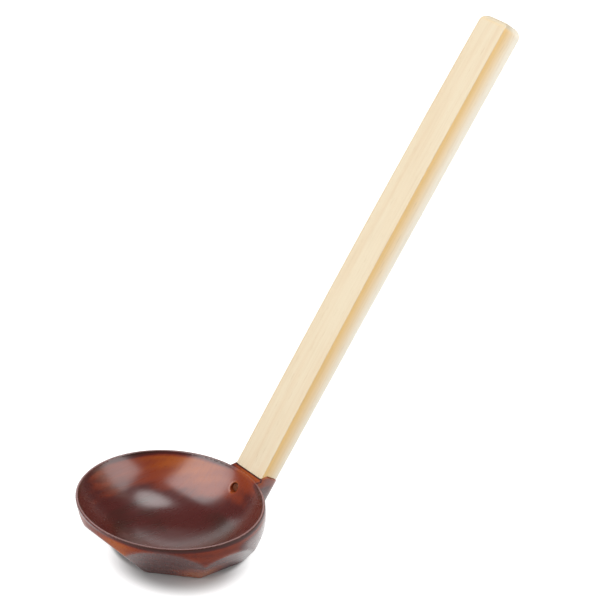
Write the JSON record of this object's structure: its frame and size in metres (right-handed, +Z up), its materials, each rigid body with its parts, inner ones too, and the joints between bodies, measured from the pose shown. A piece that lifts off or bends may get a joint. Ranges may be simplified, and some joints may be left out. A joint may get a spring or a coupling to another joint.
{
  "type": "soup ladle",
  "caption": "Small soup ladle: a shallow round lacquered wooden bowl with carved flats outside and a flat foot, and a slanted bamboo handle tenoned and pegged into its neck.",
  "frame": {"origin": "middle of the flat foot under the bowl", "axes": "+Z up, square to the foot and the rim; +X towards the side that the handle leans to; Y across the plane of symmetry"},
  "size_m": [0.1883, 0.0706, 0.1846],
  "materials": {
    "lacquered_wood": "clear brown-red lacquer, glossy",
    "bamboo": "planed and sanded, satin",
    "peg_wood": "plain, lacquered over on the end"
  },
  "bodies": {
    "root": {"bowl": "lacquered_wood", "handle": "bamboo", "peg": "peg_wood"}
  },
  "joints": []
}
